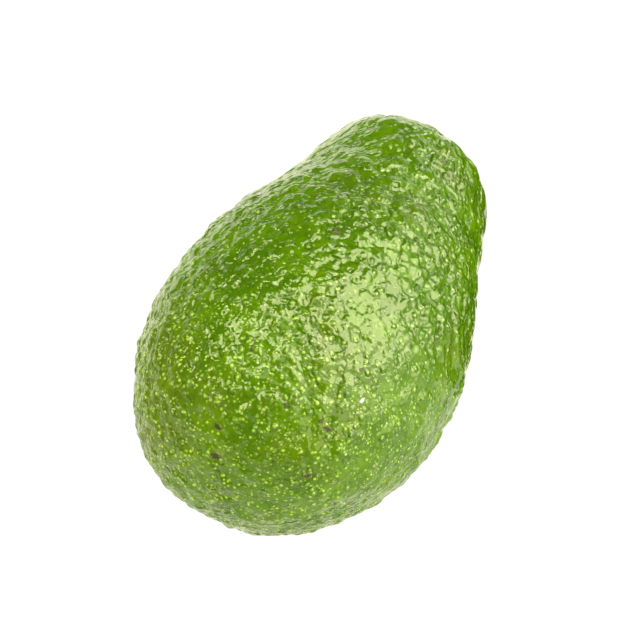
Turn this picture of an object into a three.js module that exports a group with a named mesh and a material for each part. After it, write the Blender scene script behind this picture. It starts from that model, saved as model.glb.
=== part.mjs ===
/**
 * An avocado lying on its side, as it comes to rest on a table.
 *
 * The fruit is one solid with a pebbled skin, and the woody stem button sits in the cavity at its narrow
 * end. Units are millimetres. +Z is up, +X runs from the blossom end towards the stem end, and the origin is
 * at the middle of the fruit's box, on the surface that it rests on.
 *
 * Each piece is first shaped round the X axis, with the blossom end at -LENGTH / 2 and the stem end at
 * LENGTH / 2. The finished pieces are then tipped and set down together.
 */
import * as THREE from 'three';
import { mergeVertices } from 'three/addons/utils/BufferGeometryUtils.js';

// The fruit's outline. Each radius is that of the ellipse, as long as the fruit, that touches the outline at
// one of five even steps from the blossom end to the stem end.
const LENGTH = 108;
const OUTLINE_RADII = [45.2, 36.8, 32.0, 27.9, 44.2];
// The middle of the fruit stands this far off the straight line through its two ends.
const BEND = { y: -1.8, z: 0.5 };

// How it lies: the stem end hangs lower, and the skin is pressed smooth and flat where it rests.
const STEM_DROP_DEG = 14.3;
const FLAT_DEPTH = 0.5;
const FLAT_FADE = 1.2;

// The skin: pebbles that grow longer towards the stem, on a surface that swells and sinks. The heights run
// from the lowest point of the relief to the highest.
const PEBBLE_SPACING = 5;
const PEBBLE_HEIGHT = 1.2;
const PEBBLE_REACH = 0.78;
const PEBBLE_MIDDLE = 0.4;
const NECK_STRETCH = 0.8;
const SWELL_SPACING = 13;
const SWELL_HEIGHT = 0.9;
// Each use of the random numbers has its own layer of them.
const PEBBLE_LAYERS = { x: 117, y: 118, z: 119 };
const SWELL_LAYER = 24;

// The cavity at the stem end, with the raised lip round it.
const CAVITY_RADIUS = 5.4;
const CAVITY_DEPTH = 2.8;
const LIP_RADIUS = 9;
const LIP_HEIGHT = 0.7;
const LIP_WIDTH = 3;

// The stem button, a short stub that flares towards its cut end.
const BUTTON_RADIUS = 3.6;
const BUTTON_HEIGHT = 4;
const BUTTON_GAP = 0.35;
const BUTTON_RIDGES = 9;
const BUTTON_RIDGE = 0.04;

// How finely the pieces are cut into triangles.
const FRUIT_DETAIL = 22;
const BUTTON_SIDES = 36;
const BUTTON_STEPS = 14;
const MERIDIAN_STEPS = 4000;

const SKIN = { color: 0x5f9608, roughness: 0.25, metalness: 0 };
const WOOD = { color: 0x6b5232, roughness: 0.85, metalness: 0 };

const HALF = LENGTH / 2;
const DROP = THREE.MathUtils.degToRad(STEM_DROP_DEG);

/** A smooth step from 0 at `from` to 1 at `to`. */
function smooth(from, to, value) {
  return THREE.MathUtils.smoothstep(value, from, to);
}

/** A repeatable random number in 0..1 for a point of a whole-number lattice. */
function random(i, j, k, layer) {
  const wave = Math.sin(i * 127.1 + j * 311.7 + k * 74.7 + layer * 53.9) * 43758.5453;
  return wave - Math.floor(wave);
}

/** The fruit's radius where its axis is at u, from -1 at the blossom end to 1 at the stem end. */
function outlineRadius(u) {
  const last = OUTLINE_RADII.length - 1;
  const station = (n) => (2 * n) / last - 1;
  let radius = 0;
  OUTLINE_RADII.forEach((value, n) => {
    let weight = 1;
    for (let m = 0; m <= last; m += 1) {
      if (m !== n) weight *= (u - station(m)) / (station(n) - station(m));
    }
    radius += value * weight;
  });
  return radius * Math.sqrt(Math.max(0, 1 - u * u));
}

/** The outline from the stem end to the blossom end, with the length run along it. */
function meridian() {
  const rows = [];
  let run = 0;
  for (let step = 0; step <= MERIDIAN_STEPS; step += 1) {
    const u = Math.cos((Math.PI * step) / MERIDIAN_STEPS);
    const row = { x: HALF * u, radius: outlineRadius(u), run: 0 };
    if (step > 0) {
      const before = rows[step - 1];
      run += Math.hypot(row.x - before.x, row.radius - before.radius);
    }
    row.run = run;
    rows.push(row);
  }
  return rows;
}

/** The outline's place, radius and outward slope at a share of its length, 0 at the stem end. */
function alongMeridian(rows, share) {
  const wanted = share * rows[rows.length - 1].run;
  let low = 0;
  let high = rows.length - 1;
  while (high - low > 1) {
    const middle = (low + high) >> 1;
    if (rows[middle].run <= wanted) low = middle;
    else high = middle;
  }
  const a = rows[low];
  const b = rows[high];
  const part = (wanted - a.run) / (b.run - a.run);
  const stretch = Math.hypot(b.x - a.x, b.radius - a.radius);
  return {
    x: a.x + (b.x - a.x) * part,
    radius: a.radius + (b.radius - a.radius) * part,
    outX: (b.radius - a.radius) / stretch,
    outRadius: (a.x - b.x) / stretch,
  };
}

/** The skin's slow swelling, from -1 to 1: random heights on a lattice, blended between its points. */
function swell(point) {
  const place = [point.x / SWELL_SPACING, point.y / SWELL_SPACING, point.z / SWELL_SPACING];
  const cell = place.map(Math.floor);
  const ease = place.map((value, n) => {
    const t = value - cell[n];
    return t * t * t * (t * (t * 6 - 15) + 10);
  });
  let sum = 0;
  for (let corner = 0; corner < 8; corner += 1) {
    const step = [corner & 1, (corner >> 1) & 1, corner >> 2];
    const weight = step.reduce((product, on, n) => product * (on ? ease[n] : 1 - ease[n]), 1);
    sum += weight * random(cell[0] + step[0], cell[1] + step[1], cell[2] + step[2], SWELL_LAYER);
  }
  return 2 * sum - 1;
}

/** Round-topped pebbles with creases between them, from 0 in a crease to 1 on a top. */
function pebbles(point) {
  const stretched = (HALF / NECK_STRETCH) * Math.log(1 + (NECK_STRETCH * point.x) / HALF);
  const along = point.x < 0 ? point.x : stretched;
  const place = [along / PEBBLE_SPACING, point.y / PEBBLE_SPACING, point.z / PEBBLE_SPACING];
  const cell = place.map(Math.floor);
  let nearest = Infinity;
  for (let i = cell[0] - 1; i <= cell[0] + 1; i += 1) {
    for (let j = cell[1] - 1; j <= cell[1] + 1; j += 1) {
      for (let k = cell[2] - 1; k <= cell[2] + 1; k += 1) {
        const dx = i + random(i, j, k, PEBBLE_LAYERS.x) - place[0];
        const dy = j + random(i, j, k, PEBBLE_LAYERS.y) - place[1];
        const dz = k + random(i, j, k, PEBBLE_LAYERS.z) - place[2];
        nearest = Math.min(nearest, Math.hypot(dx, dy, dz));
      }
    }
  }
  const reach = Math.min(1, nearest / PEBBLE_REACH);
  return (1 - reach * reach) ** 2;
}

/** How far the skin stands off the smooth outline at a point, with its pebbles dying out in the cavity. */
function relief(point, radius) {
  const pebbled = point.x > 0 ? smooth(CAVITY_RADIUS * 0.7, CAVITY_RADIUS * 1.5, radius) : 1;
  const pebble = PEBBLE_HEIGHT * (pebbles(point) - PEBBLE_MIDDLE);
  return pebbled * (pebble + 0.5 * SWELL_HEIGHT * swell(point));
}

/** How far the stem end is pushed in along the axis to make the cavity, less its raised lip. */
function cavity(offAxis) {
  const hollow = CAVITY_DEPTH * Math.exp(-((offAxis / CAVITY_RADIUS) ** 4));
  const lip = LIP_HEIGHT * Math.exp(-(((offAxis - LIP_RADIUS) / LIP_WIDTH) ** 2));
  return hollow - lip;
}

/** The height of a point above the axis' middle, once the fruit is tipped. */
function lift(point) {
  return point.z * Math.cos(DROP) - point.x * Math.sin(DROP);
}

/** A closed sphere of even triangles, to be shaped point by point. */
function evenSphere() {
  const sphere = new THREE.IcosahedronGeometry(1, FRUIT_DETAIL);
  sphere.deleteAttribute('normal');
  sphere.deleteAttribute('uv');
  return mergeVertices(sphere);
}

/** The smooth outline's point, and the way that faces out there, for each direction of a sphere. */
function smoothSkin(directions) {
  const rows = meridian();
  const skin = [];
  for (let n = 0; n < directions.count; n += 1) {
    const way = new THREE.Vector3().fromBufferAttribute(directions, n);
    const offAxis = Math.hypot(way.y, way.z) || 1;
    const at = alongMeridian(rows, Math.acos(THREE.MathUtils.clamp(way.x, -1, 1)) / Math.PI);
    const across = new THREE.Vector3(0, way.y / offAxis, way.z / offAxis);
    const bend = 1 - (at.x / HALF) ** 2;
    skin.push({
      point: new THREE.Vector3(at.x, BEND.y * bend, BEND.z * bend).addScaledVector(across, at.radius),
      out: new THREE.Vector3(at.outX, 0, 0).addScaledVector(across, at.outRadius),
      radius: at.radius,
    });
  }
  return skin;
}

/** The fruit in the pose it lies in, and how far it was moved to set it down round the origin. */
function fruit() {
  const geometry = evenSphere();
  const spots = geometry.attributes.position;
  const skin = smoothSkin(spots);
  const lowest = Math.min(...skin.map(({ point }) => lift(point)));
  skin.forEach(({ point, out, radius }, n) => {
    const rise = lift(point) - lowest;
    const pressed = smooth(FLAT_DEPTH, FLAT_DEPTH + FLAT_FADE, rise);
    point.addScaledVector(out, relief(point, radius) * pressed);
    if (point.x > 0) point.x -= cavity(radius);
    spots.setXYZ(n, point.x, point.y, point.z);
  });
  geometry.rotateY(DROP);
  const floor = lowest + FLAT_DEPTH;
  for (let n = 0; n < spots.count; n += 1) spots.setZ(n, Math.max(0, spots.getZ(n) - floor));
  geometry.computeBoundingBox();
  const middle = geometry.boundingBox.getCenter(new THREE.Vector3());
  geometry.translate(-middle.x, -middle.y, 0);
  return { geometry, setDown: new THREE.Vector3(-middle.x, -middle.y, -floor) };
}

/** The stem button, its foot on the cavity's floor, in the same pose as the fruit. */
function stemButton(setDown) {
  // Each point is a radius and a height, as shares of the button's own.
  const outline = [
    [0, 0], [0.62, 0], [0.78, 0.12], [0.82, 0.4], [1, 0.75], [0.86, 1], [0.4, 0.95], [0, 0.9],
  ];
  const size = new THREE.Vector2(BUTTON_RADIUS, BUTTON_HEIGHT);
  const points = outline.map((shares) => new THREE.Vector2(...shares).multiply(size));
  const profile = new THREE.SplineCurve(points).getPoints(BUTTON_STEPS);
  const geometry = new THREE.LatheGeometry(profile, BUTTON_SIDES);
  const spots = geometry.attributes.position;
  for (let n = 0; n < spots.count; n += 1) {
    const around = Math.atan2(spots.getX(n), spots.getZ(n));
    const swelling = Math.sin((Math.PI * spots.getY(n)) / BUTTON_HEIGHT);
    const ridge = 1 + BUTTON_RIDGE * swelling * Math.cos(BUTTON_RIDGES * around);
    spots.setX(n, spots.getX(n) * ridge);
    spots.setZ(n, spots.getZ(n) * ridge);
  }
  geometry.rotateZ(-Math.PI / 2);
  geometry.translate(HALF - cavity(0) + BUTTON_GAP, 0, 0);
  geometry.rotateY(DROP);
  return geometry.translate(setDown.x, setDown.y, setDown.z);
}

/** A named piece of the model. */
function piece(name, geometry, look) {
  const mesh = new THREE.Mesh(geometry, new THREE.MeshStandardMaterial(look));
  mesh.name = name;
  return mesh;
}

const laid = fruit();
const avocado = new THREE.Group();
avocado.add(piece('fruit', laid.geometry, SKIN));
avocado.add(piece('stem_button', stemButton(laid.setDown), WOOD));

export default avocado;
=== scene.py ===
"""An avocado lying on its side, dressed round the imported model.

The fruit's skin is shaped in millimetres round its own long axis, X, by the same outline and relief as the
solid that it stands for, and much more finely. It is then tipped, set down and scaled to metres.
"""

import math

import bpy
import numpy as np
from mathutils import Matrix, Vector


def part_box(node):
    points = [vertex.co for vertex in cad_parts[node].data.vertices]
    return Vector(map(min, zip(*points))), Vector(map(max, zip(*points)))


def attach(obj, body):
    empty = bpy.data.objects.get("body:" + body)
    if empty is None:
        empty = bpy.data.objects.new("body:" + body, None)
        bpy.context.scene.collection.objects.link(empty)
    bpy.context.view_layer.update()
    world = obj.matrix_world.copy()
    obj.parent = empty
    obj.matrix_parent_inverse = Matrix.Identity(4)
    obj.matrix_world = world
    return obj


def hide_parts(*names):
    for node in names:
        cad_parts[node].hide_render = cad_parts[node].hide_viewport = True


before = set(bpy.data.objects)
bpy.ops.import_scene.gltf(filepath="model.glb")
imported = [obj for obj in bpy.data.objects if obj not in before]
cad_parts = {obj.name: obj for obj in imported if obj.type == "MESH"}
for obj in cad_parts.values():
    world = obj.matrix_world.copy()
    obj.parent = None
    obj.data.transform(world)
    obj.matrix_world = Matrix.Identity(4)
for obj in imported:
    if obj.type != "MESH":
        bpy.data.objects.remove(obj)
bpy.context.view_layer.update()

MM = 0.001
SEED = 11

# The fruit's outline, as in the solid: each radius is that of the ellipse, as long as the fruit, that touches
# the outline at one of five even steps from the blossom end to the stem end.
LENGTH = 108.0
OUTLINE_RADII = (45.2, 36.8, 32.0, 27.9, 44.2)
BEND_Y = -1.8
BEND_Z = 0.5
HALF = LENGTH / 2
STEM_DROP = math.radians(14.3)
FLAT_DEPTH = 0.5
FLAT_FADE = 1.2
CAVITY_RADIUS = 5.4
CAVITY_DEPTH = 2.8
LIP_RADIUS = 9.0
LIP_HEIGHT = 0.7
LIP_WIDTH = 3.0
# The relief fades out toward the cavity, from the larger of these shares of its radius to the smaller.
CAVITY_CALM = 0.7
CAVITY_ROUGH = 1.5

# The relief that the solid has too. The swelling and the large pebbles lie where they do there, and the
# pebbles are lower here. Each use of the random numbers has its own layer of them.
SWELL_SPACING = 13.0
SWELL_HEIGHT = 0.45
SWELL_LAYER = 24
PEBBLE_SPACING = 5.0
PEBBLE_REACH = 0.78
PEBBLE_MIDDLE = 0.4
PEBBLE_HEIGHT = 0.55
PEBBLE_LAYER = 117
NECK_STRETCH = 0.8

# The fine pebbles. They go from the least height on the smoothest skin to the most on the roughest. How rough
# the skin is varies by chance, and is more on the fruit's sides.
FINE_SPACING = 2.3
FINE_STRETCH = 2.0
FINE_LEAST = 0.08
FINE_MOST = 0.5
FINE_LAYER = 31
ROUGH_SPACING = 11.0
ROUGH_RANGE = (-0.5, 0.6)
ROUGH_SIDE = 0.35
ROUGH_LAYER = 41
# The way that the skin faces where it has aged to olive.
OLIVE_WAY = (-0.64, 0.62, 0.45)
# Places where the roughness isn't left to chance: the way that the skin faces there, how nearly it faces
# that way where the place begins and where it is reached, as cosines, and how rough the place is.
ROUGH_PLACES = (
    (OLIVE_WAY, 0.5, 0.95, 0.9),
    ((-0.09, 0.12, 0.99), 0.955, 0.99, 0.25),
    ((0.2, -0.42, 0.88), 0.93, 0.99, 0.7),
    ((-0.28, -0.8, 0.53), 0.7, 0.98, 0.08),
    ((0.37, -0.7, 0.61), 0.93, 0.985, 1.7),
    ((0.4, -0.14, 0.9), 0.93, 0.985, 1.2),
    ((0.15, 0.74, 0.66), 0.85, 0.96, 0.9))
# The neck is calmer, from the fruit's middle to this share of the way to the stem end. The powers say how
# strongly that tells on the fine pebbles and on the terraces between the dots.
NECK_CALM = 0.6
NECK_REACHED = 0.6
FINE_CALMED = 2
TERRACE_CALMED = 0.3
TERRACE_LEAST = 0.35

# The large pale dots' spacing, and the specks' at the blossom end and at the stem end, with the shares of the
# fruit's length between which it changes.
DOT_GAP = 1.75
SPECK_GAP_BLOSSOM = 0.8
SPECK_GAP_STEM = 1.4
SPECK_GAP_CHANGES = (0.1, 0.5)

# How finely the skin is made: the pieces that each edge of an icosahedron is cut in, and the steps along the
# outline that its points are read from.
SKIN_CUTS = 99
MERIDIAN_STEPS = 4000
# The distance off the axis that stands for that of the skin of the blossom half, which has no cavity.
FAR_OFF = 100
# Half the width and half the length of each of the two ovals in the skin's flat map, which is one by one.
MAP_ACROSS = 0.243
MAP_ALONG = 0.49

# The middle of a noise's range, over which one colour gives way to another.
GRAIN_MIDDLE = (0.3, 0.7)

# The skin's colours, and its heights and distances in millimetres. A pair runs from one end of a random
# draw, or of an edge, to the other.
SKIN_DEEP = (0.078, 0.2, 0.0008, 1)
SKIN_BRIGHT = (0.155, 0.325, 0.0014, 1)
SKIN_FLECKED = (0.056, 0.14, 0.0006, 1)
SKIN_OLIVE = (0.15, 0.17, 0.008, 1)
SKIN_AGED = (0.165, 0.18, 0.012, 1)
# Painted shade: the skin in the moats round the dots is painted darker, as shade falls in them.
SKIN_MOAT_PAINTED_SHADE = (0.045, 0.12, 0.0005, 1)
FLECKED_EDGE = (0.35, 0.75)
FLECKED_SHARE = 0.5
OLIVE_EDGE = (0.52, 0.7)
OLIVE_SHARE = 0.3
AGED_SHARE = 0.4
AGED_RAGGED = 0.7
AGED_EDGE = (0.95, 1.4)
# How strongly the painted shade darkens a moat, for each millimetre of its depth.
MOAT_PAINTED_SHADE_SHARE = 4.0
CAVITY_GREEN = (0.075, 0.085, 0.012, 1)
CAVITY_SHARE = 0.75
CAVITY_EDGE = (9.5, 6.0)
CAVITY_RAGGED = 4.0
CAVITY_DULL = 0.6
SCAR_DARK = (0.02, 0.018, 0.001, 1)
SCAR_PALE = (0.1, 0.095, 0.006, 1)
# Painted highlight: the white of a glint painted on the skin.
PAINTED_GLINT_WHITE = (0.85, 0.85, 0.78, 1)
DOT_AT_BLOSSOM = (0.54, 0.79, 0.07, 1)
DOT_AT_STEM = (0.48, 0.66, 0.14, 1)
DOT_CHANGES = (0.15, 0.5)
DOT_RADIUS = (0.22, 0.42)
DOT_RAGGED = 0.24
DOT_EDGE = (0.12, -0.22)
DOT_SHADE = (0.5, 1)
DOT_SHADE_FULL = 0.6
DOME_EDGE = (0.66, 0.05)
DOME_RAGGED = 0.6
DOME_HEIGHT = (0.1, 0.24)
MOAT_RADIUS = 0.9
MOAT_WIDTH = 0.4
MOAT_DEPTH = 0.12
MOAT_FROM = 0.2
SPECK_RADIUS = (0.11, 0.41)
SPECK_SMALLER = 1.3
SPECK_EDGE = (0.08, -0.18)
SPECK_SHADE = (0.25, 1)
SPECK_HEIGHT = 0.06
TERRACE_GRAIN = 0.34
TERRACE_EDGE = (0.36, 0.56)
TERRACE_HEIGHT = 0.42
CRUST_HEIGHT = 0.14
SKIN_ROUGHNESS = 0.1
SCAR_ROUGHNESS = 0.35
SKIN_IOR = 1.5
GLOSS_TINT = (1.0, 0.98, 0.75)

# The woody button in the cavity, as in the solid, with its side as shares of its radius and height. The rows
# of its mesh from CUT_FROM on, counted in points of its side, are the cut end.
BUTTON_RADIUS = 3.6
BUTTON_HEIGHT = 4.0
BUTTON_GAP = 0.35
BUTTON_RIDGES = 9
BUTTON_RIDGE = 0.04
BUTTON_SIDE = ((0, 0), (0.62, 0), (0.78, 0.12), (0.82, 0.4), (1, 0.75), (0.86, 1), (0.4, 0.95), (0, 0.9))
CUT_FROM = 4.9
CUT_FADE = 0.2
BUTTON_ROWS = 71
BUTTON_COLUMNS = 96
BARK_SPACING = 1.1
BARK_STRETCH = 0.35
BARK_ROUGH = 0.14
BARK_LAYER = 51
CUT_SPACING = 0.5
CUT_ROUGH = 0.06
CUT_LAYER = 52
GRAIN_FINER = 2.2
BARK_DARK = (0.045, 0.026, 0.012, 1)
BARK_PALE = (0.21, 0.135, 0.06, 1)
LICHEN = (0.3, 0.27, 0.17, 1)
LICHEN_EDGE = (0.55, 0.7)
LICHEN_SHARE = 0.5
CUT_DARK = (0.12, 0.075, 0.035, 1)
CUT_PALE = (0.36, 0.27, 0.15, 1)
WOOD_ROUGHNESS = 0.85
WOOD_FINE_HEIGHT = 0.15
WOOD_GRAIN_HEIGHT = 0.35

# The scars that the photograph shows: the pixel, half the length and half the width in millimetres, and the
# turn in degrees anticlockwise from level. More are scattered at random all round the fruit, with half their
# length between the two sizes, and the narrowest half as wide as long. There is one painted glint, a white
# spot.
SCARS_SEEN = (
    (336, 232, 1.2, 0.75, 25), (322, 420, 0.8, 0.6, 0), (328, 430, 0.9, 0.55, -20), (448, 175, 0.9, 0.5, 80),
    (447, 162, 0.9, 0.4, 90), (448, 197, 1.0, 0.5, 60), (278, 222, 0.9, 0.45, -60), (361, 269, 1.3, 0.35, 50),
    (346, 280, 0.5, 0.4, 0), (287, 405, 0.8, 0.6, 0), (218, 427, 0.9, 0.5, -50), (214, 456, 1.2, 0.8, -20),
    (168, 469, 1.5, 0.55, -55), (307, 476, 1.7, 0.45, 0), (334, 503, 0.7, 0.45, 60), (363, 369, 0.6, 0.45, 0),
    (201, 482, 0.4, 0.35, 0))
# Painted highlight: where the one white glint is painted, listed as the scars are.
PAINTED_GLINTS_SEEN = ((361, 401, 0.75, 0.45, 35),)
SCARS_SCATTERED = 46
SCAR_SIZES = (0.25, 0.75)
SCAR_NARROWEST = 0.5
# A mark's depth is 1 at its middle, 0 at its edge and less outside, where its torn edge fades out from one of
# these depths to the other.
MARK_REACH = (-0.9, -0.3)

# The camera, as the photograph sees the fruit.
IMAGE_PIXELS = 640
CAMERA_ELEVATION = math.radians(62)
CAMERA_TURN = math.radians(64.4)
CAMERA_DISTANCE = 0.7
PIXELS_PER_MM = 4.66
SENSOR = 36.0
FRUIT_AT_PIXEL = (329.6, 306.7)

# The soft boxes round the fruit: the turn in degrees to the right of straight ahead of the camera, the rise
# in degrees above the horizon, the width and height in degrees as the fruit sees them, the radiance that the
# gloss reflects, and the radiance of the light that is cast.
LIGHT_DISTANCE = 0.9
LIGHT_AIM = 0.03
SOFT_BOXES = (
    ("key", 70, 42, 65, 50, 9.7, 0.9),
    ("key_side", 50, 7, 17, 24, 5.0, 0),
    ("key_neck", 30, -7, 16, 15, 6.4, 0),
    ("key_low", 80, -5, 50, 28, 5.4, 0),
    ("right", 128, 18, 56, 64, 3.2, 0),
    ("right_fill", 95, 14, 50, 50, 0, 3.1),
    ("upper", 31, 75, 50, 12, 8.7, 0.9),
    ("top_left", -60, 63, 34, 24, 10.5, 2.0),
    ("left_fill", -100, 8, 60, 40, 0, 1.7),
    ("top", 200, 78, 70, 12, 3.0, 0))

# The white surround, the floor that the camera sees and the one that lights the fruit from below. Then the
# table's sheets, which only the gloss reflects: the radiance, the left and near edges, the width, the depth
# and the level, in metres as the camera faces them.
WORLD_GLOW = 0.95
FLOOR_SIZE = 6
FLOOR_GLOW = 0.84
FLOOR_GREY = 0.3
BOUNCE_GLOW = 0.58
TABLE_SHEETS = (
    ("table_near", 1.1, -1.5, -1.5, 3.0, 1.5, 0.0),
    ("table_close", 1.4, -0.055, -0.07, 0.085, 0.03, 0.0003),
    ("table_beyond", 1.6, -1.5, 0.0, 3.0, 0.16, 0.0),
    ("table_middle", 0.2, -1.5, 0.16, 3.0, 0.29, 0.0),
    ("table_far", 0.03, -1.5, 0.45, 3.0, 1.9, 0.0),
    ("table_left", 1.1, -0.25, -0.15, 0.14, 0.75, 0.0003),
    ("table_far_left", 0.03, -1.5, -0.15, 1.25, 0.75, 0.0003),
    ("dark_card", 0.0, 0.041, -0.01, 0.05, 0.11, 0.0005),
    ("table_right", 0.3, 0.091, -0.01, 0.2, 0.11, 0.0004))


def smooth(low, high, value):
    """A smooth step from 0 at low to 1 at high."""
    t = np.clip((value - low) / (high - low), 0, 1)
    return t * t * (3 - 2 * t)


def random_at(i, j, k, layer):
    """A repeatable random number in 0..1 for each point of a whole-number lattice."""
    wave = np.sin(i * 127.1 + j * 311.7 + k * 74.7 + layer * 53.9) * 43758.5453
    return wave - np.floor(wave)


def outline_radius(u):
    """The fruit's radius where its axis is at u, from -1 at the blossom end to 1 at the stem end."""
    stations = np.linspace(-1, 1, len(OUTLINE_RADII))
    radius = np.zeros_like(u)
    for n, value in enumerate(OUTLINE_RADII):
        others = np.delete(stations, n)
        weight = np.prod([(u - other) / (stations[n] - other) for other in others], axis=0)
        radius += value * weight
    return radius * np.sqrt(np.maximum(0, 1 - u * u))


def even_sphere(cuts):
    """Directions and triangles of an icosahedron with each edge cut in so many pieces."""
    g = (1 + math.sqrt(5)) / 2
    corners = np.array([(-1, g, 0), (1, g, 0), (-1, -g, 0), (1, -g, 0), (0, -1, g), (0, 1, g),
                        (0, -1, -g), (0, 1, -g), (g, 0, -1), (g, 0, 1), (-g, 0, -1), (-g, 0, 1)], float)
    sides = [(0, 11, 5), (0, 5, 1), (0, 1, 7), (0, 7, 10), (0, 10, 11), (1, 5, 9), (5, 11, 4), (11, 10, 2),
             (10, 7, 6), (7, 1, 8), (3, 9, 4), (3, 4, 2), (3, 2, 6), (3, 6, 8), (3, 8, 9), (4, 9, 5),
             (2, 4, 11), (6, 2, 10), (8, 6, 7), (9, 8, 1)]
    steps = [(i, j) for i in range(cuts + 1) for j in range(cuts + 1 - i)]
    number = {step: n for n, step in enumerate(steps)}
    upright = [(number[i, j], number[i + 1, j], number[i, j + 1]) for i, j in steps if i + j < cuts]
    hanging = [(number[i + 1, j], number[i + 1, j + 1], number[i, j + 1])
               for i, j in steps if i + j < cuts - 1]
    small = np.array(upright + hanging)
    share = np.array(steps, float) / cuts
    points = []
    for a, b, c in corners[np.array(sides)]:
        points.append(a + np.outer(share[:, 0], b - a) + np.outer(share[:, 1], c - a))
    points = np.concatenate(points)
    points /= np.linalg.norm(points, axis=1)[:, None]
    triangles = (small[None] + len(steps) * np.arange(len(sides))[:, None, None]).reshape(-1, 3)
    _, first, merged = np.unique(np.round(points, 6), axis=0, return_index=True, return_inverse=True)
    return points[first], merged.reshape(-1)[triangles]


def smooth_skin(ways):
    """The smooth outline's points, and the way that each faces out, for directions round the fruit."""
    u = np.cos(np.linspace(0, math.pi, MERIDIAN_STEPS + 1))
    x = HALF * u
    radius = outline_radius(u)
    pieces = np.hypot(np.diff(x), np.diff(radius))
    run = np.concatenate([[0], np.cumsum(pieces)])
    wanted = np.arccos(np.clip(ways[:, 0], -1, 1)) / math.pi * run[-1]
    at_x = np.interp(wanted, run, x)
    at_radius = np.interp(wanted, run, radius)
    out_x = np.interp(wanted, run, np.gradient(radius, run))
    out_radius = np.interp(wanted, run, -np.gradient(x, run))
    off_axis = np.maximum(np.hypot(ways[:, 1], ways[:, 2]), 1e-9)
    across = ways[:, 1:] / off_axis[:, None]
    bend = 1 - (at_x / HALF) ** 2
    points = np.column_stack([at_x, at_radius[:, None] * across + np.outer(bend, (BEND_Y, BEND_Z))])
    out = np.column_stack([out_x, out_radius[:, None] * across])
    return points, out, at_radius


def swell(points, spacing, layer):
    """Random heights on a lattice, blended smoothly between its points, from -1 to 1."""
    place = points / spacing
    cell = np.floor(place)
    t = place - cell
    ease = t * t * t * (t * (t * 6 - 15) + 10)
    total = np.zeros(len(points))
    for corner in range(8):
        step = np.array([corner & 1, corner >> 1 & 1, corner >> 2])
        weight = np.prod(np.where(step, ease, 1 - ease), axis=1)
        total += weight * random_at(*(cell + step).T, layer)
    return 2 * total - 1


def stretched(points, stretch=NECK_STRETCH):
    """The points with their place along the neck drawn in, so that a pattern made there comes out longer."""
    x = points[:, 0]
    drawn = HALF / stretch * np.log(1 + stretch * np.maximum(x, 0) / HALF)
    return np.column_stack([np.where(x < 0, x, drawn), points[:, 1:]])


def pebbles(place, layer):
    """Round-topped pebbles, one to a lattice cell, from 0 in the creases between them to 1 on a top."""
    cell = np.floor(place)
    nearest = np.full(len(place), np.inf)
    for step in np.ndindex(3, 3, 3):
        at = cell + np.array(step) - 1
        seed = at + np.column_stack([random_at(*at.T, layer + axis) for axis in range(3)])
        nearest = np.minimum(nearest, np.linalg.norm(seed - place, axis=1))
    reach = np.minimum(1, nearest / PEBBLE_REACH)
    return (1 - reach * reach) ** 2


def cavity(off_axis):
    """How far the stem end is pushed in along the axis to make the cavity, less its raised lip."""
    hollow = CAVITY_DEPTH * np.exp(-((off_axis / CAVITY_RADIUS) ** 4))
    return hollow - LIP_HEIGHT * np.exp(-(((off_axis - LIP_RADIUS) / LIP_WIDTH) ** 2))


def tipped(points):
    """Points turned so that the stem end hangs lower."""
    c, s = math.cos(STEM_DROP), math.sin(STEM_DROP)
    x, y, z = points.T
    return np.column_stack([x * c + z * s, y, z * c - x * s])


def fruit_arrays():
    """The fruit's points in millimetres in the frame, its triangles, what its material reads at each point,
    its flat map, and the shift that set it down.
    """
    ways, triangles = even_sphere(SKIN_CUTS)
    points, out, radius = smooth_skin(ways)
    lifted = tipped(points)[:, 2]
    off_flat = smooth(FLAT_DEPTH, FLAT_DEPTH + FLAT_FADE, lifted - lifted.min())
    off_cavity = smooth(CAVITY_RADIUS * CAVITY_CALM, CAVITY_RADIUS * CAVITY_ROUGH, radius)
    off_cavity[points[:, 0] <= 0] = 1

    height = SWELL_HEIGHT * swell(points, SWELL_SPACING, SWELL_LAYER)
    height += PEBBLE_HEIGHT * (pebbles(stretched(points) / PEBBLE_SPACING, PEBBLE_LAYER) - PEBBLE_MIDDLE)
    rough = smooth(*ROUGH_RANGE, swell(points, ROUGH_SPACING, ROUGH_LAYER) + ROUGH_SIDE * abs(out[:, 1]))
    for way, edge, middle, level in ROUGH_PLACES:
        rough += (level - rough) * smooth(edge, middle, tipped(out) @ np.array(way))
    fine = pebbles(stretched(points, FINE_STRETCH) / FINE_SPACING, FINE_LAYER) - PEBBLE_MIDDLE
    calm = 1 - NECK_CALM * smooth(0, NECK_REACHED, points[:, 0] / HALF)
    height += (FINE_LEAST + (FINE_MOST - FINE_LEAST) * rough) * fine * calm ** FINE_CALMED
    shaped = points + out * (height * off_cavity * off_flat)[:, None]
    shaped[:, 0] -= np.where(points[:, 0] > 0, cavity(radius), 0)
    laid = tipped(shaped)
    floor = lifted.min() + FLAT_DEPTH
    laid[:, 2] = np.maximum(0, laid[:, 2] - floor)
    middle = (laid.min(axis=0) + laid.max(axis=0)) / 2
    shift = np.array([-middle[0], -middle[1], 0])

    toward_stem = (points[:, 0] + HALF) / LENGTH
    gap = SPECK_GAP_BLOSSOM + (SPECK_GAP_STEM - SPECK_GAP_BLOSSOM) * smooth(*SPECK_GAP_CHANGES, toward_stem)
    facts = {
        "skin_place": stretched(points),
        "speck_place": stretched(points) / gap[:, None],
        "speck_gap": gap,
        "toward_stem": toward_stem,
        "rough": (TERRACE_LEAST + (1 - TERRACE_LEAST) * rough) * calm ** TERRACE_CALMED,
        "olive": tipped(out) @ np.array(OLIVE_WAY),
        "from_axis": np.where(points[:, 0] > 0, radius, FAR_OFF),
    }
    return laid + shift, triangles, facts, flat_map(ways, triangles), shift - (0, 0, floor)


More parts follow.
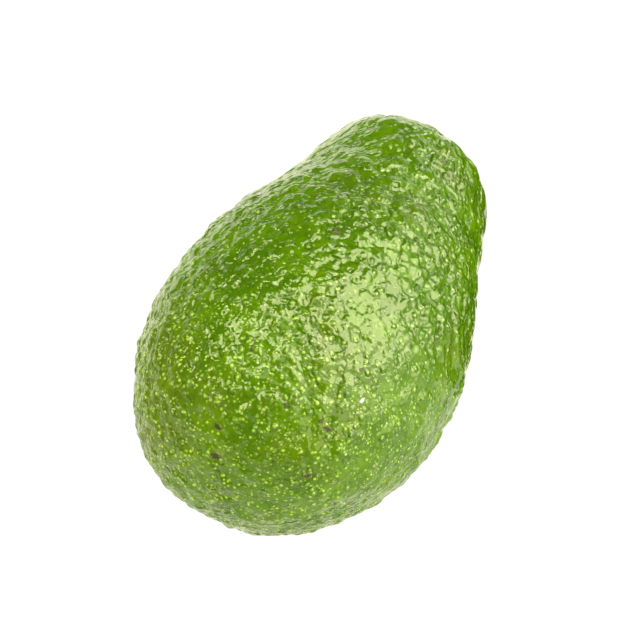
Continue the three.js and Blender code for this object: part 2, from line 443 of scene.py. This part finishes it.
def flat_map(ways, triangles):
    """The place of each triangle's corners in a flat map, where the fruit's upper half and its under half are
    two ovals side by side.
    """
    corners = ways[triangles]
    side = np.where(corners[:, :, 2].mean(axis=1) > 0, 1, -1)[:, None]
    spread = 1 / np.sqrt(1 + side * corners[:, :, 2])
    across = 0.5 - 0.25 * side + MAP_ACROSS * side * spread * corners[:, :, 1]
    along = 0.5 + MAP_ALONG * spread * corners[:, :, 0]
    return np.stack([across, along], axis=2)


def marks_on(points, facing, seen, scattered):
    """How deep in a mark each point is, from 0 at its edge to 1 at its middle, and less than 0 outside.

    The marks that are seen lie on the skin that faces the camera, and so many more are scattered at random.
    """
    rng = np.random.default_rng(SEED)
    right, up, back, _ = (np.array(way) for way in camera_axes())
    deepest = np.full(len(points), -1.0)
    marks = []
    pixels = to_pixels(points)
    for x, y, half_length, half_width, turn in seen:
        away = np.hypot(pixels[:, 0] - x, pixels[:, 1] - y)
        away[facing @ back < 0] = np.inf
        turn = math.radians(turn)
        way = right * math.cos(turn) + up * math.sin(turn)
        marks.append((points[away.argmin()], half_length, half_width, way))
    for n in rng.integers(len(points), size=scattered):
        size = rng.uniform(*SCAR_SIZES)
        marks.append((points[n], size, size * rng.uniform(SCAR_NARROWEST, 1), rng.normal(size=3)))
    for middle, half_length, half_width, way in marks:
        offset = points - middle
        along = offset @ (way / np.linalg.norm(way))
        across = np.sqrt(np.maximum(0, (offset ** 2).sum(axis=1) - along ** 2))
        deepest = np.maximum(deepest, 1 - np.hypot(along / half_length, across / half_width))
    return deepest


def mesh_object(name, points, faces, facts=None):
    """A smooth-shaded object from points in millimetres, with what its material reads at each point."""
    mesh = bpy.data.meshes.new(name)
    mesh.from_pydata((points * MM).tolist(), [], faces.tolist())
    mesh.polygons.foreach_set("use_smooth", np.ones(len(faces), bool))
    for key, values in (facts or {}).items():
        kind, field = ("FLOAT", "value") if values.ndim == 1 else ("FLOAT_VECTOR", "vector")
        attribute = mesh.attributes.new(key, kind, "POINT")
        attribute.data.foreach_set(field, values.astype(np.float32).ravel())
    mesh.validate()
    ob = bpy.data.objects.new(name, mesh)
    bpy.context.scene.collection.objects.link(ob)
    return ob


class Nodes:
    """Short calls that add nodes to a material and join them."""

    def __init__(self, name):
        self.material = bpy.data.materials.new(name)
        self.material.use_nodes = True
        self.tree = self.material.node_tree
        self.shader = self.tree.nodes["Principled BSDF"]

    def feed(self, socket, value):
        """Join a node's output to the socket, or set the socket to a plain value."""
        if isinstance(value, bpy.types.NodeSocket):
            self.tree.links.new(value, socket)
        else:
            socket.default_value = value

    def math(self, operation, *values, clamp=False):
        node = self.tree.nodes.new("ShaderNodeMath")
        node.operation = operation
        node.use_clamp = clamp
        for socket, value in zip(node.inputs, values):
            self.feed(socket, value)
        return node.outputs[0]

    def attribute(self, name, output="Fac"):
        node = self.tree.nodes.new("ShaderNodeAttribute")
        node.attribute_name = name
        return node.outputs[output]

    def place(self):
        """The place on the object, in metres."""
        return self.tree.nodes.new("ShaderNodeTexCoord").outputs["Object"]

    def noise(self, place, scale, detail=2.0, roughness=0.5):
        """Noise from 0 to 1, with so many grains to a unit of the place."""
        node = self.tree.nodes.new("ShaderNodeTexNoise")
        self.feed(node.inputs["Vector"], place)
        node.inputs["Scale"].default_value = scale
        node.inputs["Detail"].default_value = detail
        node.inputs["Roughness"].default_value = roughness
        return node.outputs["Fac"]

    def voronoi(self, place, scale):
        """The distance to the nearest of points scattered one to a cell, and that point's random colour."""
        node = self.tree.nodes.new("ShaderNodeTexVoronoi")
        self.feed(node.inputs["Vector"], place)
        node.inputs["Scale"].default_value = scale
        return node.outputs["Distance"], node.outputs["Color"]

    def ramp(self, value, low, high, to_low=0.0, to_high=1.0):
        """A smooth step from to_low, where the value is low, to to_high, where it is high."""
        node = self.tree.nodes.new("ShaderNodeMapRange")
        node.interpolation_type = "SMOOTHSTEP"
        for socket, number in zip(node.inputs, (value, low, high, to_low, to_high)):
            self.feed(socket, number)
        return node.outputs["Result"]

    def mix(self, share, first, second):
        node = self.tree.nodes.new("ShaderNodeMix")
        node.data_type = "RGBA"
        self.feed(node.inputs[0], share)
        self.feed(node.inputs[6], first)
        self.feed(node.inputs[7], second)
        return node.outputs[2]

    def channels(self, colour):
        node = self.tree.nodes.new("ShaderNodeSeparateColor")
        self.feed(node.inputs[0], colour)
        return node.outputs

    def between(self, draw, ends):
        """A random draw from 0 to 1, spread evenly from the first end to the second."""
        return self.math("MULTIPLY_ADD", draw, ends[1] - ends[0], ends[0])

    def ragged(self, distance, grain, by):
        """A distance made longer or shorter by up to half as much as `by` says."""
        return self.math("MULTIPLY_ADD", grain, by, self.math("SUBTRACT", distance, by / 2))

    def mark(self, name, grain, torn, sink, edge):
        """The share of a mark with a torn edge, from the depth in it that the mesh holds at each point."""
        depth = self.attribute(name)
        torn_depth = self.math("ADD", depth, self.math("MULTIPLY_ADD", grain, torn, -sink))
        return self.math("MULTIPLY", self.ramp(torn_depth, *edge), self.ramp(depth, *MARK_REACH))

    def bump(self, height, distance):
        """Tilt the shader's normal as if the surface stood so high, in units of the distance."""
        node = self.tree.nodes.new("ShaderNodeBump")
        node.inputs["Strength"].default_value = 1
        node.inputs["Distance"].default_value = distance
        self.feed(node.inputs["Height"], height)
        self.feed(self.shader.inputs["Normal"], node.outputs["Normal"])


def pale_dots(n, place, skin_place):
    """The large dots: the share of their colour, and the heights of the domes and the moats round them."""
    cells, random = n.voronoi(skin_place, 1 / DOT_GAP)
    distance = n.math("MULTIPLY", cells, DOT_GAP)
    size_draw, height_draw, shade_draw = n.channels(random)[:3]
    ragged = n.ragged(distance, n.noise(place, scale=2600, detail=1), DOT_RAGGED)
    beyond = n.math("SUBTRACT", ragged, n.between(size_draw, DOT_RADIUS))
    dot = n.math("MULTIPLY", n.ramp(beyond, *DOT_EDGE), n.ramp(shade_draw, 0, DOT_SHADE_FULL, *DOT_SHADE))
    away = n.ragged(distance, n.noise(place, scale=1000, detail=1.5), DOME_RAGGED)
    dome = n.math("MULTIPLY", n.ramp(away, *DOME_EDGE), n.between(height_draw, DOME_HEIGHT))
    moat = n.ramp(n.math("ABSOLUTE", n.math("SUBTRACT", away, MOAT_RADIUS)), MOAT_WIDTH, 0)
    return dot, dome, n.math("MULTIPLY", moat, n.ramp(height_draw, MOAT_FROM, 1, 0, MOAT_DEPTH))


def pale_specks(n, place):
    """The share of the colour of the specks between the dots."""
    cells, random = n.voronoi(n.attribute("speck_place", "Vector"), 1.0)
    distance = n.math("MULTIPLY", cells, n.attribute("speck_gap"))
    size_draw, _, shade_draw = n.channels(random)[:3]
    ragged = n.ragged(distance, n.noise(place, scale=2900, detail=1), DOT_RAGGED)
    size = n.between(n.math("POWER", size_draw, SPECK_SMALLER), SPECK_RADIUS)
    beyond = n.math("SUBTRACT", ragged, size)
    return n.math("MULTIPLY", n.ramp(beyond, *SPECK_EDGE), n.ramp(shade_draw, 0, 1, *SPECK_SHADE))


def skin_green(n, place, moat):
    """The green under the dots: patches, darker flecks, olive and aged parts, and painted shade in the moats.
    """
    bright = n.ramp(n.noise(place, scale=110, detail=4, roughness=0.6), *GRAIN_MIDDLE)
    green = n.mix(bright, SKIN_DEEP, SKIN_BRIGHT)
    flecked = n.ramp(n.noise(place, scale=620, detail=3, roughness=0.6), *FLECKED_EDGE)
    green = n.mix(n.math("MULTIPLY", flecked, FLECKED_SHARE), green, SKIN_FLECKED)
    olive = n.ramp(n.noise(place, scale=45, detail=3, roughness=0.6), *OLIVE_EDGE)
    green = n.mix(n.math("MULTIPLY", olive, OLIVE_SHARE), green, SKIN_OLIVE)
    grain = n.noise(place, scale=60, detail=4, roughness=0.65)
    aged = n.math("MULTIPLY_ADD", grain, AGED_RAGGED, n.attribute("olive"))
    aged = n.ramp(aged, *AGED_EDGE)
    green = n.mix(n.math("MULTIPLY", aged, AGED_SHARE), green, SKIN_AGED)
    # Painted shade: each moat is painted darker the deeper it is.
    return n.mix(n.math("MULTIPLY", moat, MOAT_PAINTED_SHADE_SHARE), green, SKIN_MOAT_PAINTED_SHADE)


def skin_material():
    """A glossy green skin with low terraces, pale dots and specks, painted shade in the moats round the dots,
    brown scars, a painted white glint and a dull cavity.
    """
    n = Nodes("avocado_skin")
    n.shader.inputs["Roughness"].default_value = SKIN_ROUGHNESS
    n.shader.inputs["IOR"].default_value = SKIN_IOR
    n.shader.inputs["Specular Tint"].default_value = (*GLOSS_TINT, 1)
    place = n.place()
    skin_place = n.attribute("skin_place", "Vector")
    dot, dome, moat = pale_dots(n, place, skin_place)
    speck = pale_specks(n, place)
    terrace = n.ramp(n.noise(skin_place, scale=TERRACE_GRAIN, detail=0.6, roughness=0.5), *TERRACE_EDGE)
    terrace = n.math("MULTIPLY", terrace, n.attribute("rough"))
    grain = n.noise(place, scale=1700, detail=2, roughness=0.7)
    scar = n.mark("scar", grain, torn=2.0, sink=1.1, edge=(-0.12, 0.08))
    # The painted glint: a small white spot with a torn edge, standing in for a highlight.
    grain = n.noise(place, scale=2600, detail=2, roughness=0.6)
    painted_glint = n.mark("painted_glint", grain, torn=0.8, sink=0.4, edge=(-0.1, 0.15))
    crust = n.math("MULTIPLY", scar, n.noise(place, scale=3000, detail=3, roughness=0.7))

    height = n.math("MULTIPLY_ADD", terrace, TERRACE_HEIGHT, n.math("SUBTRACT", dome, moat))
    height = n.math("MULTIPLY_ADD", speck, SPECK_HEIGHT, height)
    height = n.math("MULTIPLY_ADD", crust, CRUST_HEIGHT, height)
    n.bump(height, MM)

    pale = n.mix(n.ramp(n.attribute("toward_stem"), *DOT_CHANGES), DOT_AT_BLOSSOM, DOT_AT_STEM)
    colour = n.mix(n.math("MAXIMUM", dot, speck), skin_green(n, place, moat), pale)
    grain = n.noise(place, scale=500, detail=3)
    from_axis = n.math("MULTIPLY_ADD", grain, CAVITY_RAGGED, n.attribute("from_axis"))
    in_cavity = n.ramp(from_axis, *CAVITY_EDGE)
    colour = n.mix(n.math("MULTIPLY", in_cavity, CAVITY_SHARE), colour, CAVITY_GREEN)
    colour = n.mix(scar, colour, n.mix(n.ramp(crust, *GRAIN_MIDDLE), SCAR_DARK, SCAR_PALE))
    # Painted highlight: the glint's white laid over the colour.
    colour = n.mix(painted_glint, colour, PAINTED_GLINT_WHITE)
    n.feed(n.shader.inputs["Base Color"], colour)
    dull = n.math("MAXIMUM", scar, n.math("MULTIPLY", in_cavity, CAVITY_DULL))
    n.feed(n.shader.inputs["Roughness"], n.ramp(dull, 0, 1, SKIN_ROUGHNESS, SCAR_ROUGHNESS))
    return n.material


def wood_material():
    """Dry bark with some lichen, and a paler cut end."""
    n = Nodes("stem_wood")
    place = n.place()
    grain = n.noise(n.attribute("grain_place", "Vector"), scale=1.0, detail=4, roughness=0.65)
    bark = n.mix(n.ramp(grain, *GRAIN_MIDDLE), BARK_DARK, BARK_PALE)
    lichen = n.ramp(n.noise(place, scale=900, detail=3, roughness=0.6), *LICHEN_EDGE)
    bark = n.mix(n.math("MULTIPLY", lichen, LICHEN_SHARE), bark, LICHEN)
    paler = n.ramp(n.noise(place, scale=1500, detail=3, roughness=0.7), *GRAIN_MIDDLE)
    cut = n.mix(paler, CUT_DARK, CUT_PALE)
    n.feed(n.shader.inputs["Base Color"], n.mix(n.attribute("cut"), bark, cut))
    n.shader.inputs["Roughness"].default_value = WOOD_ROUGHNESS
    fine = n.noise(place, scale=2500, detail=3, roughness=0.6)
    n.bump(n.math("MULTIPLY_ADD", fine, WOOD_FINE_HEIGHT, n.math("MULTIPLY", grain, WOOD_GRAIN_HEIGHT)), MM)
    return n.material


def finish(ob, node, material):
    """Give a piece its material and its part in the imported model."""
    ob.data.materials.append(material)
    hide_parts(node)
    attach(ob, "root")


def make_fruit():
    """The whole fruit, and the shift that set it down."""
    points, triangles, facts, corners, shift = fruit_arrays()
    first, second, third = (points[triangles[:, corner]] for corner in range(3))
    sides = np.cross(second - first, third - first)
    facing = np.zeros_like(points)
    for corner in range(3):
        np.add.at(facing, triangles[:, corner], sides)
    facts["scar"] = marks_on(points, facing, SCARS_SEEN, SCARS_SCATTERED)
    # Where the painted glint lies on the skin.
    facts["painted_glint"] = marks_on(points, facing, PAINTED_GLINTS_SEEN, 0)
    fruit = mesh_object("avocado_fruit", points, triangles, facts)
    uv_map = fruit.data.uv_layers.new(name="OFBake")
    uv_map.data.foreach_set("uv", corners.ravel().astype(np.float32))
    finish(fruit, "fruit", skin_material())
    return fruit, shift


def through(values, steps):
    """Values on the uniform Catmull-Rom curve through a row of them, at steps counted from the first."""
    values = np.asarray(values, float)
    last = len(values) - 1
    start = np.minimum(np.floor(steps).astype(int), last - 1)
    t = steps - start
    before, here = values[np.maximum(start - 1, 0)], values[start]
    there, after = values[start + 1], values[np.minimum(start + 2, last)]
    leave, reach = (there - before) / 2, (after - here) / 2
    bent = (2 * here - 2 * there + leave + reach) * t ** 3
    return bent + (3 * there - 3 * here - 2 * leave - reach) * t ** 2 + leave * t + here


def make_button(shift):
    """The stub of the stalk: a ridged collar of bark round a rough cut end."""
    steps = np.linspace(0, len(BUTTON_SIDE) - 1, BUTTON_ROWS)
    around = np.linspace(0, 2 * math.pi, BUTTON_COLUMNS, endpoint=False)
    radius = BUTTON_RADIUS * through([r for r, _ in BUTTON_SIDE], steps)[:, None]
    height = BUTTON_HEIGHT * through([h for _, h in BUTTON_SIDE], steps)[:, None]
    ridges = BUTTON_RIDGE * np.sin(math.pi * height / BUTTON_HEIGHT) * np.cos(BUTTON_RIDGES * around)
    cut = smooth(CUT_FROM - CUT_FADE, CUT_FROM + CUT_FADE, steps)[:, None] + np.zeros_like(around)
    bare = np.column_stack([v.ravel() for v in np.broadcast_arrays(
        height, radius * (1 + ridges) * np.cos(around), radius * (1 + ridges) * np.sin(around))])
    along = bare * (BARK_STRETCH, 1, 1)
    rough = BARK_ROUGH * swell(along, BARK_SPACING, BARK_LAYER)
    rough += CUT_ROUGH * swell(bare, CUT_SPACING, CUT_LAYER)
    wider = 1 + (1 - cut.ravel()) * rough / BUTTON_RADIUS
    points = bare * np.column_stack([np.ones(len(bare)), wider, wider])
    points[:, 0] += cut.ravel() * (rough - BARK_ROUGH) + HALF - cavity(np.zeros(1)) + BUTTON_GAP

    row, column = np.meshgrid(np.arange(BUTTON_ROWS - 1), np.arange(BUTTON_COLUMNS), indexing="ij")
    here = row * BUTTON_COLUMNS + column
    beside = row * BUTTON_COLUMNS + (column + 1) % BUTTON_COLUMNS
    quads = np.stack([here, beside, beside + BUTTON_COLUMNS, here + BUTTON_COLUMNS], axis=-1).reshape(-1, 4)
    facts = {"grain_place": along * GRAIN_FINER, "cut": cut.ravel()}
    button = mesh_object("avocado_stem_button", tipped(points) + shift, quads, facts)
    finish(button, "stem_button", wood_material())
    return button


def camera_axes():
    """The camera's right, up and back ways in the frame, and the level way that it looks along."""
    right = Vector((math.cos(CAMERA_TURN), -math.sin(CAMERA_TURN), 0))
    ahead = Vector((math.sin(CAMERA_TURN), math.cos(CAMERA_TURN), 0))
    rise = Vector((0, 0, 1))
    up = ahead * math.sin(CAMERA_ELEVATION) + rise * math.cos(CAMERA_ELEVATION)
    back = rise * math.sin(CAMERA_ELEVATION) - ahead * math.cos(CAMERA_ELEVATION)
    return right, up, back, ahead


def camera_location():
    """Where the camera stands, so that the middle of the fruit's box is at its place in the photograph."""
    right, up, back, _ = camera_axes()
    low, high = (Vector(corner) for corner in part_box("fruit"))
    off_x = (FRUIT_AT_PIXEL[0] - IMAGE_PIXELS / 2) / PIXELS_PER_MM * MM
    off_y = (IMAGE_PIXELS / 2 - FRUIT_AT_PIXEL[1]) / PIXELS_PER_MM * MM
    return (low + high) / 2 - right * off_x - up * off_y + back * CAMERA_DISTANCE


def to_pixels(points):
    """The photograph's pixels of points given in millimetres."""
    right, up, back, _ = (np.array(way) for way in camera_axes())
    seen = points * MM - np.array(camera_location())
    scale = PIXELS_PER_MM / MM * CAMERA_DISTANCE / -(seen @ back)
    return np.column_stack([IMAGE_PIXELS / 2 + seen @ right * scale, IMAGE_PIXELS / 2 - seen @ up * scale])


def make_camera():
    """The camera at the photograph's angle and scale."""
    right, up, back, _ = camera_axes()
    data = bpy.data.cameras.new("camera")
    data.sensor_width = SENSOR
    data.lens = SENSOR * CAMERA_DISTANCE / (IMAGE_PIXELS / PIXELS_PER_MM * MM)
    data.clip_start = 0.01
    camera = bpy.data.objects.new("camera", data)
    turn = Matrix((right, up, back)).transposed().to_4x4()
    camera.matrix_world = Matrix.Translation(camera_location()) @ turn
    bpy.context.scene.collection.objects.link(camera)
    bpy.context.scene.camera = camera


def studio_way(turn, rise):
    """The way to a point so many degrees right of straight ahead of the camera, and above the horizon."""
    right, _, _, ahead = camera_axes()
    level = ahead * math.cos(math.radians(turn)) + right * math.sin(math.radians(turn))
    return level * math.cos(math.radians(rise)) + Vector((0, 0, 1)) * math.sin(math.radians(rise))


def soft_box(name, turn, rise, width, height, gloss, cast):
    """A soft box, as one light that only the gloss reflects and one that lights the colour under it."""
    way = studio_way(turn, rise)
    for kind, strength in (("gloss", gloss), ("cast", cast)):
        if not strength:
            continue
        data = bpy.data.lights.new(f"{name}_{kind}", "AREA")
        data.shape = "RECTANGLE"
        data.size = 2 * LIGHT_DISTANCE * math.tan(math.radians(width / 2))
        data.size_y = 2 * LIGHT_DISTANCE * math.tan(math.radians(height / 2))
        data.energy = strength * math.pi * data.size * data.size_y
        data.color = GLOSS_TINT if kind == "gloss" else (1, 1, 1)
        ob = bpy.data.objects.new(f"{name}_{kind}", data)
        ob.rotation_euler = way.to_track_quat("Z", "Y").to_euler()
        ob.location = way * LIGHT_DISTANCE + Vector((0, 0, LIGHT_AIM))
        ob.visible_camera = False
        ob.visible_glossy = kind == "gloss"
        ob.visible_diffuse = kind == "cast"
        bpy.context.scene.collection.objects.link(ob)


def glow(name, width, depth, radiance, colour=(1, 1, 1), grey=0.0):
    """A level plane that gives off light, and reflects as a matt grey does."""
    bpy.ops.mesh.primitive_plane_add(size=1)
    plane = bpy.context.object
    plane.name = name
    plane.data.transform(Matrix.Diagonal((width, depth, 1, 1)))
    material = bpy.data.materials.new(name)
    material.use_nodes = True
    shader = material.node_tree.nodes["Principled BSDF"]
    shader.inputs["Base Color"].default_value = (grey, grey, grey, 1)
    shader.inputs["Roughness"].default_value = 1
    shader.inputs["Specular IOR Level"].default_value = 0
    shader.inputs["Emission Color"].default_value = (*colour, 1)
    shader.inputs["Emission Strength"].default_value = radiance
    plane.data.materials.append(material)
    return plane


def make_stage():
    """The studio: a pale floor, a white surround, the table's reflections and the soft boxes."""
    scene = bpy.context.scene
    scene.view_settings.view_transform = "Standard"
    world = bpy.data.worlds.new("studio")
    world.use_nodes = True
    scene.world = world
    world.node_tree.nodes["Background"].inputs["Color"].default_value = (1, 1, 1, 1)
    world.node_tree.nodes["Background"].inputs["Strength"].default_value = WORLD_GLOW
    world.cycles_visibility.glossy = False

    floor = glow("floor", FLOOR_SIZE, FLOOR_SIZE, FLOOR_GLOW, grey=FLOOR_GREY)
    floor.visible_glossy = False
    floor.visible_diffuse = False
    bounce = glow("floor_bounce", FLOOR_SIZE, FLOOR_SIZE, BOUNCE_GLOW)
    for kind in ("camera", "glossy", "shadow"):
        setattr(bounce, f"visible_{kind}", False)
    right, _, _, ahead = camera_axes()
    for name, radiance, left, near, wide, deep, level in TABLE_SHEETS:
        sheet = glow(name, wide, deep, radiance, GLOSS_TINT)
        for kind in ("camera", "diffuse", "shadow"):
            setattr(sheet, f"visible_{kind}", False)
        sheet.rotation_euler.z = math.atan2(right.y, right.x)
        sheet.location = right * (left + wide / 2) + ahead * (near + deep / 2) + Vector((0, 0, level))
    for box in SOFT_BOXES:
        soft_box(*box)


fruit, shift = make_fruit()
make_button(shift)
make_camera()
make_stage()
